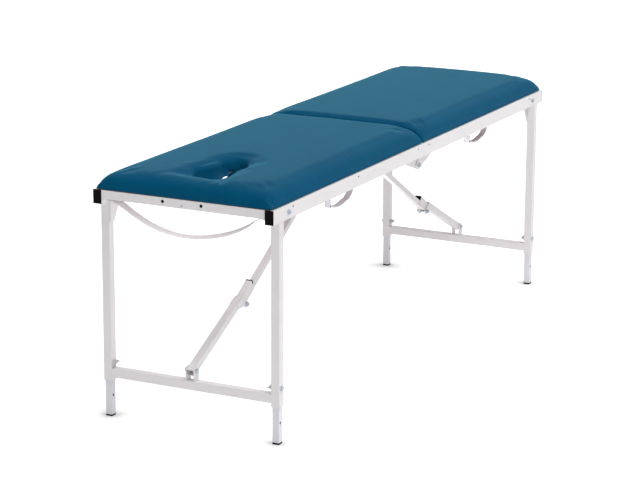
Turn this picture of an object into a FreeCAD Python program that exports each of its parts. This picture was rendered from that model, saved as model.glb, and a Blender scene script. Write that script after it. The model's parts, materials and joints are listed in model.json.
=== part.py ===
import FreeCAD, Part
import math
import os
import re

# Folding treatment table: two upholstered halves hinged in the middle, folding leg frames, locking braces.
# Millimetres. X runs across the table, Y from the head end (-Y) to the foot end (+Y), Z up from the floor.
# Each half is drawn as the head half; the foot half is the same drawing turned half a turn about Z.

doc = FreeCAD.newDocument("treatment_table")
sheet = doc.addObject("Spreadsheet::Sheet", "sizes")

SIZES = {
    # overall
    "table_length": 1960, "table_width": 560, "rail_top": 668,
    # side rails and cross tubes of the two half frames
    "rail_height": 40, "rail_width": 25, "rail_wall": 1.5, "seam_gap": 0.6,
    "bar_side": 25, "bar_wall": 1.5, "end_bar_inset": 2, "inner_bar_from_seam": 72,
    "cap_lip": 3, "cap_depth": 14,
    "mount_hole": 7, "mount_spacing": 120, "mount_drop": 11,
    "access_hole": 6, "access_drop": 10.5, "access_from_end": 117, "access_from_seam": 39,
    # centre hinge
    "hinge_drop": 28.5, "hinge_plate": 3, "hinge_plate_length": 118, "hinge_eye": 13.5, "hinge_inset": 16,
    "hinge_gap": 0.5, "hinge_bolt": 8,
    # leg frames
    "leg_from_end": 51, "leg_side": 25, "leg_wall": 2, "leg_inset": 1, "leg_top_gap": 0.5, "leg_bottom": 106.5,
    "crossbar_bottom": 118, "pivot_from_end": 89.5, "pivot_bolt": 8, "gusset_plate": 3, "gusset_eye": 16,
    "gusset_inset": 3.5, "gusset_height": 60.5,
    # telescopic inner legs and their clamping bolts
    "inner_leg_side": 20, "inner_leg_wall": 1.5, "inner_leg_top": 290, "foot_height": 5, "foot_plug": 15,
    "height_hole": 8.4, "height_bolt": 8, "bolt_height": 161, "hole_pitch": 50,
    "wing_hub": 7, "wing_hub_length": 8, "wing_reach": 13, "wing_length": 12, "wing_plate": 3,
    # folding braces
    "brace_top_drop": 38, "clevis_rise": 29, "elbow_droop": 35, "brace_pin": 8,
    "upper_tube": 17, "lower_tube": 21, "brace_wall": 1.5, "upper_tube_lift": 9, "lower_tube_lift": 25,
    "upper_tube_start": 12, "lower_tube_stop": 10, "tube_end_top": 6, "tube_end_low": 11,
    "saddle_wall": 1.7, "saddle_rise": 14, "saddle_length": 62, "saddle_behind": 4, "saddle_eye": 9,
    "plug_length": 12,
    "ear_plate": 2.5, "ear_eye": 11, "ear_length": 46, "ear_inset": 3,
    "clevis_ear": 3, "clevis_length": 25, "link_clearance": 0.5,
    # fasteners
    "bolt_head": 6.5, "bolt_head_height": 5, "nut_radius": 6.5, "nut_height": 6, "thread_end": 3,
    "running_fit": 0.05, "plate_gap": 0.3, "screw_head": 5, "screw_head_height": 2.5,
    "stud_radius": 3.5, "stud_height": 1.2, "stud_rise": 8,
    # upholstery
    "board_thickness": 10, "board_inset": 9, "cushion_thickness": 50, "cushion_crown": 3, "cushion_bulge": 1.5,
    "cushion_inset": 2.5, "cushion_edge": 45, "cushion_edge_drop": 28, "cushion_fit": 0.3,
    "end_roll": 55, "end_roll_drop": 28, "end_corner": 2,
    "seam_roll": 14, "seam_roll_drop": 14, "seam_corner": 8,
    "hole_from_end": 168, "hole_near_radius": 45, "hole_far_radius": 32, "hole_waist": 24,
    "hole_waist_radius": 127, "hole_flare": 58, "hole_flare_depth": 42,
    # carry handles and webbing strap
    "handle_middle": 500, "handle_half": 80, "handle_width": 18, "handle_thickness": 4, "handle_drop": 48,
    "handle_sag": 6, "handle_rise": 28, "handle_clearance": 3, "handle_bend": 16, "handle_sweep": 58,
    "lug_length": 16, "lug_height": 22,
    "strap_width": 36, "strap_thickness": 1.6, "strap_setback": 2, "strap_end_gap": 3, "strap_screw_inset": 6,
    # how far a cutting tool runs past what it cuts
    "overrun": 5,
}
# Shares of a size, and counts
ELBOW_SHARE = 0.3245
FLARE_SHARES = ((0, 0), (0.4, 0.07), (0.65, 0.22), (0.82, 0.45), (0.93, 0.71), (1, 1))
ROUND_STEPS = 5
ROUND_SHARE = 0.45
# Points closer than this are one point
TOUCHING = 1e-6
# The strap's route across the table (X, Z) from end to end
STRAP_ROUTE = [(-246, 642.2), (-226, 642.15), (-196, 627), (-160, 605), (-118, 584.5), (-70, 569), (-20, 561.5),
               (30, 562), (80, 569.5), (126, 582), (164, 597), (195, 614), (217, 629.5), (234, 642.1),
               (252, 642.2)]
for row, (alias, amount) in enumerate(SIZES.items(), start=1):
    sheet.set(f"A{row}", alias.replace("_", " "))
    sheet.set(f"B{row}", str(amount))
    sheet.setAlias(f"B{row}", alias)
doc.recompute()


def bind(text):
    """Spell a formula over the size names as an expression on the sheet."""
    return re.sub(r"\b([a-z]\w+)", r"sizes.\1", str(text))


def number(text):
    return float(sheet.evalExpression(bind(text)))


# Formulas that several pieces share
half_length = "(table_length / 2)"
half_width = "(table_width / 2)"
rail_bottom = "(rail_top - rail_height)"
rail_inner = "(table_width / 2 - rail_width)"
pivot_y = "(pivot_from_end - table_length / 2)"
pivot_z = "(rail_top - rail_height / 2)"
leg_y = "(leg_from_end - table_length / 2)"
leg_top = "(rail_top - rail_height - leg_top_gap)"
leg_outer = "(table_width / 2 - leg_inset)"
leg_inner = "(table_width / 2 - leg_inset - leg_side)"
crossbar_top = "(crossbar_bottom + bar_side)"
hinge_z = "(rail_top - rail_height - hinge_drop)"
bracket_gap = "(upper_tube / 2 + link_clearance)"
clevis_gap = "(lower_tube / 2 + link_clearance)"
handle_inner = "(table_width / 2 - rail_width - handle_clearance - handle_width)"

parts = {}
HALF_TURN = FreeCAD.Placement(FreeCAD.Vector(), FreeCAD.Rotation(FreeCAD.Vector(0, 0, 1), 180))
AXIS_TURN = {
    "x": FreeCAD.Rotation(FreeCAD.Vector(0, 1, 0), 90),
    "y": FreeCAD.Rotation(FreeCAD.Vector(1, 0, 0), -90),
    "z": FreeCAD.Rotation(),
}


def vector(x, y, z):
    return FreeCAD.Vector(number(x), number(y), number(z))


def set_base(obj, corner):
    for axis, text in zip("xyz", corner):
        obj.setExpression(f"Placement.Base.{axis}", bind(text))


def box(corner, size):
    obj = doc.addObject("Part::Box", "block")
    for name, text in zip(("Length", "Width", "Height"), size):
        obj.setExpression(name, bind(text))
    set_base(obj, corner)
    return obj


def rod(axis, start, radius, length):
    obj = doc.addObject("Part::Cylinder", "rod")
    obj.Placement.Rotation = AXIS_TURN[axis]
    obj.setExpression("Radius", bind(radius))
    obj.setExpression("Height", bind(length))
    set_base(obj, start)
    return obj


def hexagon(axis, start, radius, length):
    obj = doc.addObject("Part::Prism", "hexagon")
    obj.Polygon = 6
    obj.Placement.Rotation = AXIS_TURN[axis]
    obj.setExpression("Circumradius", bind(radius))
    obj.setExpression("Height", bind(length))
    set_base(obj, start)
    return obj


def fuse(shapes):
    if len(shapes) == 1:
        return shapes[0]
    obj = doc.addObject("Part::MultiFuse", "joined")
    obj.Shapes = shapes
    return obj


def cut(base, tools):
    obj = doc.addObject("Part::Cut", "cut")
    obj.Base = base
    obj.Tool = fuse(tools)
    return obj


def group(solids):
    obj = doc.addObject("Part::Compound", "group")
    obj.Links = solids
    return obj


def add_part(label, obj, half="head"):
    """Give a finished sub-part its name, and turn it round to the foot half where it belongs there."""
    obj.Label = label
    if half == "foot":
        obj.Placement = HALF_TURN.multiply(obj.Placement)
    parts[label] = obj
    return obj


def across(side, inner, outer):
    """Corner and width in X of a piece between two distances from the middle plane, on one side of it."""
    corner = inner if side > 0 else f"-({outer})"
    return corner, f"({outer} - {inner})"


def box_tube(corner, size, wall, along):
    """Hollow rectangular tube, open at both ends along one axis."""
    outer = box(corner, size)
    inner_corner = []
    inner_size = []
    for axis, low, length in zip("xyz", corner, size):
        if axis == along:
            inner_corner.append(f"{low} - overrun")
            inner_size.append(f"{length} + 2 * overrun")
        else:
            inner_corner.append(f"{low} + {wall}")
            inner_size.append(f"{length} - 2 * {wall}")
    return outer, box(inner_corner, inner_size)


def origin_plane(body, role):
    return next(item for item in body.Origin.OriginFeatures if item.Role == role)


def outline_edges(points):
    """Edges of a closed outline: a plain point ends a line, a pair (middle, end) ends an arc."""
    edges = []
    last = points[0]
    for item in points[1:] + [points[0]]:
        if isinstance(item, tuple):
            edges.append(Part.Arc(last, *item))
            last = item[1]
        elif not last.isEqual(item, TOUCHING):
            edges.append(Part.LineSegment(last, item))
            last = item
    return edges


def flat(u, v):
    return FreeCAD.Vector(u, v, 0)


def plate(points, thickness, plane="YZ_Plane", holes=(), symmetric=False):
    """Plate padded from an outline in one of the body's own planes, with round holes (u, v, radius)."""
    body = doc.addObject("PartDesign::Body", "plate")
    sketch = body.newObject("Sketcher::SketchObject", "outline")
    sketch.AttachmentSupport = [(origin_plane(body, plane), "")]
    sketch.MapMode = "FlatFace"
    for edge in outline_edges(points):
        sketch.addGeometry(edge, False)
    for u, v, radius in holes:
        sketch.addGeometry(Part.Circle(flat(u, v), FreeCAD.Vector(0, 0, 1), radius), False)
    pad = body.newObject("PartDesign::Pad", "thickness")
    pad.Profile = sketch
    pad.setExpression("Length", bind(thickness))
    pad.Midplane = symmetric
    return body


def tangent_point(centre, radius, outside, turn):
    """Point where the tangent from an outside point touches a circle; turn picks which of the two."""
    away = outside - centre
    swing = math.acos(radius / away.Length) * turn
    heading = math.atan2(away.y, away.x) + swing
    return centre + flat(radius * math.cos(heading), radius * math.sin(heading))


def arc_through(centre, radius, start_angle, end_angle):
    """Middle and end points of an arc, for an outline."""
    middle = (start_angle + end_angle) / 2
    return (centre + flat(radius * math.cos(middle), radius * math.sin(middle)),
            centre + flat(radius * math.cos(end_angle), radius * math.sin(end_angle)))


def angle_to(centre, point):
    return math.atan2(point.y - centre.y, point.x - centre.x)


def cross_bolt(side, y, z, inner, outer, shank, with_nut=True):
    """Bolt across the table: round head outside, hexagon nut inside, between two distances from the middle."""
    head_x, head_length = across(side, outer, f"({outer} + bolt_head_height)")
    solids = [rod("x", (head_x, y, z), "bolt_head", head_length)]
    nut_room = "(nut_height + thread_end)" if with_nut else "0"
    shank_x, shank_length = across(side, f"({inner} - {nut_room})", outer)
    solids.append(rod("x", (shank_x, y, z), shank, shank_length))
    if with_nut:
        nut_x, nut_length = across(side, f"({inner} - nut_height)", inner)
        solids.append(hexagon("x", (nut_x, y, z), "nut_radius", nut_length))
    return fuse(solids)


# Brace geometry in the head half: pivots at the top bracket, the elbow and the crossbar clevis
brace_top = flat(number("-inner_bar_from_seam"), number("rail_top - brace_top_drop"))
brace_foot = flat(number(leg_y), number(f"{crossbar_top} + clevis_rise"))
brace_line = brace_top - brace_foot
brace_down = flat(brace_line.y, -brace_line.x).normalize()
elbow = brace_foot + brace_line * ELBOW_SHARE + brace_down * number("elbow_droop")


def side_name(half, side):
    world = side if half == "head" else -side
    return "right" if world > 0 else "left"


def make_rails(half):
    for side in (-1, 1):
        x, width = across(side, rail_inner, half_width)
        low = f"(cap_lip - {half_length})"
        length = f"({half_length} - cap_lip - seam_gap / 2)"
        outer, bore = box_tube((x, low, rail_bottom), (width, length, "rail_height"), "rail_wall", "y")
        hole_x, hole_length = across(side, f"({rail_inner} - overrun)", f"({half_width} + overrun)")
        tools = [bore, rod("x", (hole_x, pivot_y, pivot_z), "pivot_bolt / 2 + running_fit", hole_length)]
        wall_x, wall_length = across(side, f"({half_width} - rail_wall - overrun)", f"({half_width} + overrun)")
        for y in (f"(access_from_end - {half_length})", "-access_from_seam"):
            tools.append(rod("x", (wall_x, y, "rail_top - access_drop"), "access_hole / 2", wall_length))
        add_part(f"{half}_{side_name(half, side)}_rail", cut(outer, tools), half)


def make_rail_caps(half):
    """Moulded plugs that close the outer ends of the two rails."""
    caps = []
    for side in (-1, 1):
        x, width = across(side, rail_inner, half_width)
        lip = box((x, f"-{half_length}", rail_bottom), (width, "cap_lip", "rail_height"))
        inside = ("rail_width - 2 * rail_wall", "cap_depth", "rail_height - 2 * rail_wall")
        plug_x, _ = across(side, f"({rail_inner} + rail_wall)", f"({half_width} - rail_wall)")
        plug = box((plug_x, f"cap_lip - {half_length}", f"{rail_bottom} + rail_wall"), inside)
        caps.append(fuse([lip, plug]))
    add_part(f"{half}_rail_caps", group(caps), half)


def make_cross_tubes(half):
    length = f"(2 * {rail_inner})"
    low = "(rail_top - bar_side)"
    front = f"(end_bar_inset - {half_length})"
    outer, bore = box_tube((f"-{rail_inner}", front, low), (length, "bar_side", "bar_side"), "bar_wall", "x")
    tools = [bore]
    for side in (-1, 1):
        start = (f"{side} * mount_spacing / 2", f"{front} - overrun", "rail_top - mount_drop")
        tools.append(rod("y", start, "mount_hole / 2", "2 * overrun"))
    add_part(f"{half}_end_crossbar", cut(outer, tools), half)
    back = "(-inner_bar_from_seam - bar_side / 2)"
    outer, bore = box_tube((f"-{rail_inner}", back, low), (length, "bar_side", "bar_side"), "bar_wall", "x")
    add_part(f"{half}_inner_crossbar", cut(outer, [bore]), half)


def ear_pair(pivot, seat, gap):
    """Two round-ended ears either side of a link, from the level they are welded at to past the pivot."""
    reach = number("clevis_length / 2")
    tip = pivot.y + math.copysign(reach, pivot.y - seat)
    points = [flat(pivot.x + reach, seat), flat(pivot.x + reach, pivot.y),
              (flat(pivot.x, tip), flat(pivot.x - reach, pivot.y)), flat(pivot.x - reach, seat)]
    hole = (pivot.x, pivot.y, number("brace_pin / 2 + running_fit"))
    ears = []
    for side in (-1, 1):
        ear = plate(points, "clevis_ear", holes=[hole])
        x, _ = across(side, gap, f"({gap} + clevis_ear)")
        ear.Placement.Base = vector(x, "0", "0")
        ears.append(ear)
    return group(ears)


def make_brace_bracket(half):
    """Two ears under the inner cross tube that carry the top of the brace."""
    add_part(f"{half}_brace_bracket", ear_pair(brace_top, number("rail_top - bar_side"), bracket_gap), half)


def make_hinge_plates(half):
    """Triangular plates under the rails; the two halves' plates lie side by side on the pivot bolt."""
    eye = flat(0, number(hinge_z))
    radius = number("hinge_eye")
    top = number(rail_bottom)
    far = flat(-number("hinge_plate_length"), top)
    near = flat(-number("seam_gap"), top)
    low_touch = tangent_point(eye, radius, far, 1)
    side_touch = tangent_point(eye, radius, near, -1)
    start = angle_to(eye, low_touch)
    end = angle_to(eye, side_touch)
    while end < start:
        end += 2 * math.pi
    points = [near, far, low_touch, arc_through(eye, radius, start, end)]
    hole = (eye.x, eye.y, number("hinge_bolt / 2 + running_fit"))
    shift = "0" if half == "head" else "(hinge_plate + hinge_gap)"
    plates = []
    for side in (-1, 1):
        outer = f"({half_width} - hinge_inset - hinge_plate - hinge_gap + {shift})"
        body = plate(points, "hinge_plate", holes=[hole])
        x, _ = across(side, f"({outer} - hinge_plate)", outer)
        body.Placement.Base = vector(x, "0", "0")
        plates.append(body)
    add_part(f"{half}_hinge_plates", group(plates), half)


def make_hinge_bolts():
    bolts = []
    for side in (-1, 1):
        outer = f"({half_width} - hinge_inset)"
        inner = f"({outer} - 2 * hinge_plate - hinge_gap)"
        bolts.append(cross_bolt(side, "0", hinge_z, inner, outer, "hinge_bolt / 2"))
    add_part("centre_hinge_bolts", group(bolts))


def make_pivot_bolts(half):
    """Leg pivot bolts through both rails, and the pin that holds the top of the brace."""
    bolts = []
    for side in (-1, 1):
        inner = f"({leg_inner} - gusset_plate - plate_gap)"
        bolts.append(cross_bolt(side, pivot_y, pivot_z, inner, half_width, "pivot_bolt / 2"))
    outside = f"({bracket_gap} + clevis_ear)"
    bolts.append(cross_bolt(1, str(brace_top.x), str(brace_top.y), f"-{outside}", outside, "brace_pin / 2"))
    add_part(f"{half}_pivot_bolts", group(bolts), half)


def face_hole_wire(grow, height):
    """Hour-glass outline of the face hole at one height: two round ends joined by a waist of two arcs."""
    near = number("hole_near_radius") + grow
    far = number("hole_far_radius") + grow
    waist = number("hole_waist") + grow
    bend = number("hole_waist_radius") - grow
    reach_near = math.sqrt((near - waist) * (near + waist + 2 * bend))
    reach_far = math.sqrt((far - waist) * (far + waist + 2 * bend))
    near_centre = flat(0, number(f"hole_from_end - {half_length}"))
    far_centre = near_centre + flat(0, reach_near + reach_far)
    waist_x = waist + bend
    waist_y = near_centre.y + reach_near
    near_angle = math.atan2(reach_near, waist_x)
    far_angle = math.atan2(-reach_far, waist_x)
    right = flat(waist_x, waist_y)
    left = flat(-waist_x, waist_y)
    points = [near_centre + flat(-near * math.cos(near_angle), near * math.sin(near_angle))]
    points.append(arc_through(near_centre, near, math.pi - near_angle, 1.5 * math.pi))
    points.append(arc_through(near_centre, near, -math.pi / 2, near_angle))
    points.append(arc_through(right, bend, math.pi + near_angle, math.pi + far_angle))
    points.append(arc_through(far_centre, far, far_angle, math.pi / 2))
    points.append(arc_through(far_centre, far, math.pi / 2, math.pi - far_angle))
    points.append(arc_through(left, bend, -far_angle, -near_angle))
    edges = [item.toShape() for item in outline_edges(points)]
    wire = Part.Wire(edges)
    wire.translate(FreeCAD.Vector(0, 0, height))
    return wire


def make_face_hole():
    """Tool for the face hole: straight through the board, rolled outwards at the cushion's top."""
    rim = number("rail_top + cushion_thickness + cushion_crown")
    start = rim - number("hole_flare_depth")
    wires = [face_hole_wire(0, number("rail_top - overrun"))]
    for rise_share, grow_share in FLARE_SHARES:
        height = start + number("hole_flare_depth") * rise_share
        wires.append(face_hole_wire(number("hole_flare") * grow_share, height))
    wires.append(face_hole_wire(number("hole_flare"), rim + number("overrun")))
    tool = doc.addObject("Part::Feature", "face_hole")
    tool.Shape = Part.makeLoft(wires, True, True)
    return tool


def board_block():
    front = f"(board_inset - {half_length})"
    size = ("table_width - 2 * board_inset", f"{half_length} - 2 * board_inset", "board_thickness")
    return box((f"board_inset - {half_width}", front, "rail_top"), size)


def make_board(half):
    board = cut(board_block(), [make_face_hole()]) if half == "head" else group([board_block()])
    add_part(f"{half}_top_board", board, half)


def cushion_section(y, sink, draw_in):
    """Section across the cushion: drawn-in foot, full sides, long rolled shoulders, crowned top."""
    base = number("rail_top + cushion_fit")
    full_height = number("cushion_thickness - cushion_fit")
    top = base + full_height - sink
    height_share = (top - base) / full_height
    side = number(f"{half_width} - cushion_inset") - draw_in
    edge = number("cushion_edge")
    drop = number("cushion_edge_drop") * height_share
    bulge = number("cushion_bulge") * height_share
    shoulder = top - drop
    middle = (base + shoulder) / 2
    radius = (edge ** 2 + drop ** 2) / (2 * drop)
    lean = math.atan2(radius - drop, edge)
    right = flat(side - edge, top - radius)
    left = flat(edge - side, top - radius)
    points = [flat(-side, base), flat(side, base),
              (flat(side + bulge, middle), flat(side, shoulder)),
              arc_through(right, radius, lean, math.pi / 2),
              (flat(0, top + number("cushion_crown")), flat(edge - side, top)),
              arc_through(left, radius, math.pi / 2, math.pi - lean),
              (flat(-side - bulge, middle), flat(-side, base))]
    wire = Part.Wire([line.toShape() for line in outline_edges(points)])
    wire.rotate(FreeCAD.Vector(), FreeCAD.Vector(1, 0, 0), 90)
    wire.translate(FreeCAD.Vector(0, y, 0))
    return wire


def rolled_end(place, inward, name):
    """Sections of one end of the cushion, from the end inwards: the top rolls down, the sides draw in."""
    sections = []
    for step in range(ROUND_STEPS + 1):
        angle = math.pi / 2 * (1 - step / ROUND_STEPS)
        along_y = place + inward * number(f"{name}_roll") * (1 - math.sin(angle))
        fall = 1 - math.cos(angle)
        sink = number(f"{name}_roll_drop") * fall
        sections.append(cushion_section(along_y, sink, number(f"{name}_corner") * fall))
    return sections


def make_cushion(half):
    """Padded top over the board, with a long roll at its outer end and a tight one at the seam."""
    outer_end = rolled_end(-number(half_length), 1, "end")
    seam_end = rolled_end(-number("seam_gap / 2"), -1, "seam")
    foam = doc.addObject("Part::Feature", "foam")
    foam.Shape = Part.makeLoft(outer_end + seam_end[::-1], True, True)
    cushion = cut(foam, [board_block()])
    if half == "head":
        cushion = cut(cushion, [make_face_hole()])
    add_part(f"{half}_cushion", cushion, half)


def make_handle(half):
    """Strap handle inside the right-hand rail: tight bend nearer the head, long sweep, lug at each end."""
    side = 1 if half == "head" else -1
    middle = -number("handle_middle")
    reach = number("handle_half")
    bends = [number("handle_bend"), number("handle_sweep")][::side]
    sag = number("handle_sag")
    top = number(f"{rail_bottom} + handle_rise")
    low = number(f"{rail_bottom} - handle_drop") + sag

    def face(inset):
        """One face of the strap, a given way in from its outer face."""
        near, far = [bend - inset for bend in bends]
        left = middle - reach + inset
        right = middle + reach - inset
        floor = low + inset
        near_turn = near * (1 - math.sqrt(0.5))
        far_turn = far * (1 - math.sqrt(0.5))
        return [flat(left, top), flat(left, floor + near),
                (flat(left + near_turn, floor + near_turn), flat(left + near, floor)),
                (flat((left + near + right - far) / 2, floor - sag), flat(right - far, floor)),
                (flat(right - far_turn, floor + far_turn), flat(right, floor + far)), flat(right, top)]

    inside = face(number("handle_thickness"))
    back = [inside[5], inside[4][1], (inside[4][0], inside[3][1]), (inside[3][0], inside[2][1]),
            (inside[2][0], inside[1]), inside[0]]
    strap = plate(face(0) + back, "handle_width")
    x, _ = across(side, handle_inner, f"({handle_inner} + handle_width)")
    strap.Placement.Base = vector(x, "0", "0")
    lugs = []
    for y in ("(-handle_middle - handle_half)", "(handle_half - handle_middle - lug_length)"):
        lug_x, lug_width = across(side, handle_inner, rail_inner)
        corner = (lug_x, y, f"{rail_bottom} + handle_rise - lug_height")
        lugs.append(box(corner, (lug_width, "lug_length", "lug_height")))
    add_part(f"{half}_carry_handle", fuse([strap] + lugs), half)


def strap_points():
    """The strap's route, stretched to end just inside the rails and hung from the underside of the end tube."""
    last_x, last_z = STRAP_ROUTE[-1]
    stretch = number(f"{rail_inner} - strap_end_gap") / last_x
    shift = number("rail_top - bar_side - strap_thickness / 2") - last_z
    return [flat(x * stretch, z + shift) for x, z in STRAP_ROUTE]


def strap_edge(offset):
    """One face of the strap: straight runs joined by tangent arcs, offset square to the route."""
    points = strap_points()
    pieces = []
    radii = []
    run = (points[1] - points[0]).normalize()
    last = points[0] + flat(-run.y, run.x) * offset
    for before, point, after in zip(points, points[1:], points[2:]):
        run_in = point - before
        run_out = after - point
        trim = ROUND_SHARE * min(run_in.Length, run_out.Length)
        run_in.normalize()
        run_out.normalize()
        turn = math.atan2(run_in.x * run_out.y - run_in.y * run_out.x, run_in.dot(run_out))
        radius = trim / math.tan(abs(turn) / 2)
        radii.append(radius)
        side = math.copysign(1, turn)
        centre = point - run_in * trim + flat(-run_in.y, run_in.x) * (radius * side)
        start = point - run_in * trim + flat(-run_in.y, run_in.x) * offset
        end = point + run_out * trim + flat(-run_out.y, run_out.x) * offset
        half_way = ((start - centre) + (end - centre)).normalize()
        pieces.append(Part.LineSegment(last, start))
        pieces.append(Part.Arc(start, centre + half_way * (radius - offset * side), end))
        last = end
    run = (points[-1] - points[-2]).normalize()
    pieces.append(Part.LineSegment(last, points[-1] + flat(-run.y, run.x) * offset))
    return pieces, radii


def make_strap():
    """Webbing strap slung under the head end cross tube, its ends screwed flat to the tube."""
    half_thick = number("strap_thickness / 2")
    lower, radii = strap_edge(-half_thick)
    upper, _ = strap_edge(half_thick)
    middle, _ = strap_edge(0)
    first = Part.LineSegment(lower[0].StartPoint, upper[0].StartPoint)
    last = Part.LineSegment(lower[-1].EndPoint, upper[-1].EndPoint)
    body = doc.addObject("PartDesign::Body", "strap")
    sketch = body.newObject("Sketcher::SketchObject", "route")
    sketch.AttachmentSupport = [(origin_plane(body, "XZ_Plane"), "")]
    sketch.MapMode = "FlatFace"
    for item in lower + upper + [first, last]:
        sketch.addGeometry(item, False)
    pad = body.newObject("PartDesign::Pad", "width")
    pad.Profile = sketch
    pad.setExpression("Length", bind("strap_width"))
    pad.Midplane = True
    body.Placement.Base = vector("0", f"end_bar_inset + strap_setback + strap_width / 2 - {half_length}", "0")
    add_part("head_webbing_strap", body)
    doc.recompute()
    length = sum(item.length() for item in middle)
    print("strap radii", [round(radius, 1) for radius in radii], "length", round(length, 1))
    print("strap volume", round(body.Shape.Volume, 1), "expected",
          round(length * number("strap_width * strap_thickness"), 1))


def make_screws(half):
    """Screw heads in the cross tubes, the handle lugs and the strap, and the stud on the end tube."""
    heads = []
    low = "(rail_top - bar_side)"
    end_bar_y = f"(end_bar_inset + bar_side / 2 - {half_length})"
    for y in (end_bar_y, "-inner_bar_from_seam"):
        for side in (-1, 1):
            spot = (f"{side} * mount_spacing", y, f"{low} - screw_head_height")
            heads.append(rod("z", spot, "screw_head", "screw_head_height"))
    side = 1 if half == "head" else -1
    for end in (-1, 1):
        x, length = across(side, f"({handle_inner} - screw_head_height)", handle_inner)
        y = f"{end} * (handle_half - lug_length / 2) - handle_middle"
        heads.append(rod("x", (x, y, f"{rail_bottom} + handle_rise - lug_height / 2"), "screw_head", length))
    stud = ("0", f"end_bar_inset - {half_length} - stud_height", f"{low} + stud_rise")
    heads.append(rod("y", stud, "stud_radius", "stud_height"))
    if half == "head":
        level = f"{low} - strap_thickness - plate_gap - screw_head_height"
        for end, inward in ((strap_points()[0], "+"), (strap_points()[-1], "-")):
            spot = (f"{end.x} {inward} strap_screw_inset", end_bar_y, level)
            heads.append(rod("z", spot, "screw_head", "screw_head_height"))
    add_part(f"{half}_frame_screws", group(heads), half)


def make_leg_frame(half):
    """Two outer legs, their crossbar, pivot gussets, brace clevis and bolts."""
    low_y = f"({leg_y} - leg_side / 2)"
    gussets = []
    for side in (-1, 1):
        x, _ = across(side, leg_inner, leg_outer)
        size = ("leg_side", "leg_side", f"({leg_top} - leg_bottom)")
        outer, bore = box_tube((x, low_y, "leg_bottom"), size, "leg_wall", "z")
        hole_x, hole_length = across(side, f"({leg_inner} - overrun)", f"({leg_outer} + overrun)")
        hole = rod("x", (hole_x, leg_y, "bolt_height"), "height_bolt / 2 + running_fit", hole_length)
        add_part(f"{half}_{side_name(half, side)}_leg", cut(outer, [bore, hole]), half)
        gussets.append(gusset(side))
    add_part(f"{half}_leg_gussets", group(gussets), half)
    corner = (f"-{leg_inner}", f"({leg_y} - bar_side / 2)", "crossbar_bottom")
    outer, bore = box_tube(corner, (f"(2 * {leg_inner})", "bar_side", "bar_side"), "bar_wall", "x")
    add_part(f"{half}_leg_crossbar", cut(outer, [bore]), half)
    make_clevis(half)
    bolts = []
    for side in (-1, 1):
        nut_side = f"({leg_inner} - wing_hub_length - thread_end)"
        bolts.append(cross_bolt(side, leg_y, "bolt_height", nut_side, leg_outer, "height_bolt / 2",
                                with_nut=False))
    ear_out = f"({clevis_gap} + clevis_ear)"
    place = (str(brace_foot.x), str(brace_foot.y))
    head = rod("x", (ear_out, *place), "bolt_head", "bolt_head_height")
    bolts.append(fuse([head, rod("x", (clevis_gap, *place), "brace_pin / 2", "clevis_ear")]))
    nut = hexagon("x", (f"-{ear_out} - nut_height", *place), "nut_radius", "nut_height")
    bolts.append(fuse([nut, rod("x", (f"-{ear_out}", *place), "brace_pin / 2", "clevis_ear")]))
    add_part(f"{half}_leg_bolts", group(bolts), half)


def gusset(side):
    """Pivot plate on the inner face of a leg: straight along the leg, round about the pivot."""
    pivot = flat(number(pivot_y), number(pivot_z))
    eye = number("gusset_eye")
    low_out = flat(number(f"{leg_y} - leg_side / 2 + gusset_inset"), number(f"{leg_top} - gusset_height"))
    high_out = flat(low_out.x, number(leg_top))
    low_in = flat(number(f"{leg_y} + leg_side / 2"), low_out.y)
    upper_touch = tangent_point(pivot, eye, high_out, -1)
    lower_touch = tangent_point(pivot, eye, low_in, 1)
    start = angle_to(pivot, upper_touch)
    end = angle_to(pivot, lower_touch)
    while end > start:
        end -= 2 * math.pi
    points = [low_out, high_out, upper_touch, arc_through(pivot, eye, start, end), low_in]
    hole = (pivot.x, pivot.y, number("pivot_bolt / 2 + running_fit"))
    web = plate(points, "gusset_plate", holes=[hole])
    x, _ = across(side, f"({leg_inner} - gusset_plate)", leg_inner)
    web.Placement.Base = vector(x, "0", "0")
    return web


def make_clevis(half):
    """Two ears on the leg crossbar for the foot of the brace."""
    add_part(f"{half}_brace_clevis", ear_pair(brace_foot, number(crossbar_top), clevis_gap), half)


def make_inner_leg(half, side):
    """Sliding leg with its adjusting hole; the hidden holes above it are drawn as one slot for the bolt."""
    name = f"{half}_{side_name(half, side)}"
    middle = f"({leg_inner} + leg_side / 2)"
    inner = f"({middle} - inner_leg_side / 2)"
    x, _ = across(side, inner, f"({middle} + inner_leg_side / 2)")
    y = f"({leg_y} - inner_leg_side / 2)"
    size = ("inner_leg_side", "inner_leg_side", "(inner_leg_top - foot_height)")
    outer, bore = box_tube((x, y, "foot_height"), size, "inner_leg_wall", "z")
    through_x = f"({x} - overrun)"
    through = "(inner_leg_side + 2 * overrun)"
    tools = [bore, rod("x", (through_x, leg_y, "bolt_height - 2 * hole_pitch"), "height_hole / 2", through)]
    for level in ("(bolt_height - hole_pitch)", "(bolt_height + 2 * hole_pitch)"):
        tools.append(rod("x", (through_x, leg_y, level), "height_hole / 2", through))
    slot = (through_x, f"{leg_y} - height_hole / 2", "bolt_height - hole_pitch")
    tools.append(box(slot, (through, "height_hole", "3 * hole_pitch")))
    add_part(f"{name}_inner_leg", cut(outer, tools), half)
    pad = box((x, y, "0"), ("inner_leg_side", "inner_leg_side", "foot_height"))
    plug_side = "(inner_leg_side - 2 * inner_leg_wall)"
    corner = (f"{x} + inner_leg_wall", f"{y} + inner_leg_wall", "foot_height")
    plug = box(corner, (plug_side, plug_side, "foot_plug"))
    add_part(f"{name}_foot", fuse([pad, plug]), half)


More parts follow.
